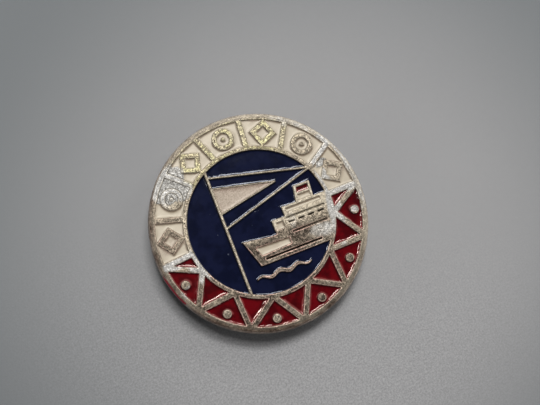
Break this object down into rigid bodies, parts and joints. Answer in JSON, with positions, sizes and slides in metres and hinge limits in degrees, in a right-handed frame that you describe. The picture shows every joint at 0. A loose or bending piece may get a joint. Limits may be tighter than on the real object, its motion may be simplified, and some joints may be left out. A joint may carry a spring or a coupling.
{
  "type": "enamel pin",
  "caption": "Round struck-metal lapel badge with sunk enamel picture and two-colour ornamental border, and a swinging needle with a catch on its back.",
  "frame": {"origin": "centre of the disc seen from the front, at the height of the lowest back fitting", "axes": "+Z out of the enamelled face, +Y towards the top of the picture, +X to the right of the picture; the needle lies along X at rest"},
  "size_m": [0.025, 0.025, 0.0041],
  "materials": {
    "struck_metal": "satin, grainy, worn",
    "cream_enamel": "gloss",
    "red_enamel": "gloss",
    "blue_enamel": "gloss",
    "steel_strip": "dull plated",
    "rivet_metal": "satin",
    "rivet_steel": "satin",
    "needle_wire": "bright drawn wire"
  },
  "bodies": {
    "badge": {"badge_body": "struck_metal", "cream_enamel_ring": "cream_enamel", "red_enamel_ring": "red_enamel", "blue_enamel_left": "blue_enamel", "blue_enamel_top": "blue_enamel", "blue_enamel_rigging": "blue_enamel", "blue_enamel_sea": "blue_enamel", "cream_enamel_sail": "cream_enamel", "cream_enamel_hull": "cream_enamel", "cream_enamel_decks": "cream_enamel", "red_enamel_funnel": "red_enamel", "pin_plate": "steel_strip", "plate_rivets": "rivet_metal", "hinge_rivet": "rivet_steel"},
    "needle": {"needle": "needle_wire"}
  },
  "joints": [
    {"name": "needle_swing", "type": "hinge", "parent": "badge", "child": "needle", "pos_m": [-0.0076, 0.0024, 0.00085], "axis": [0, 0, 1], "range_deg": [0, 35]}
  ]
}
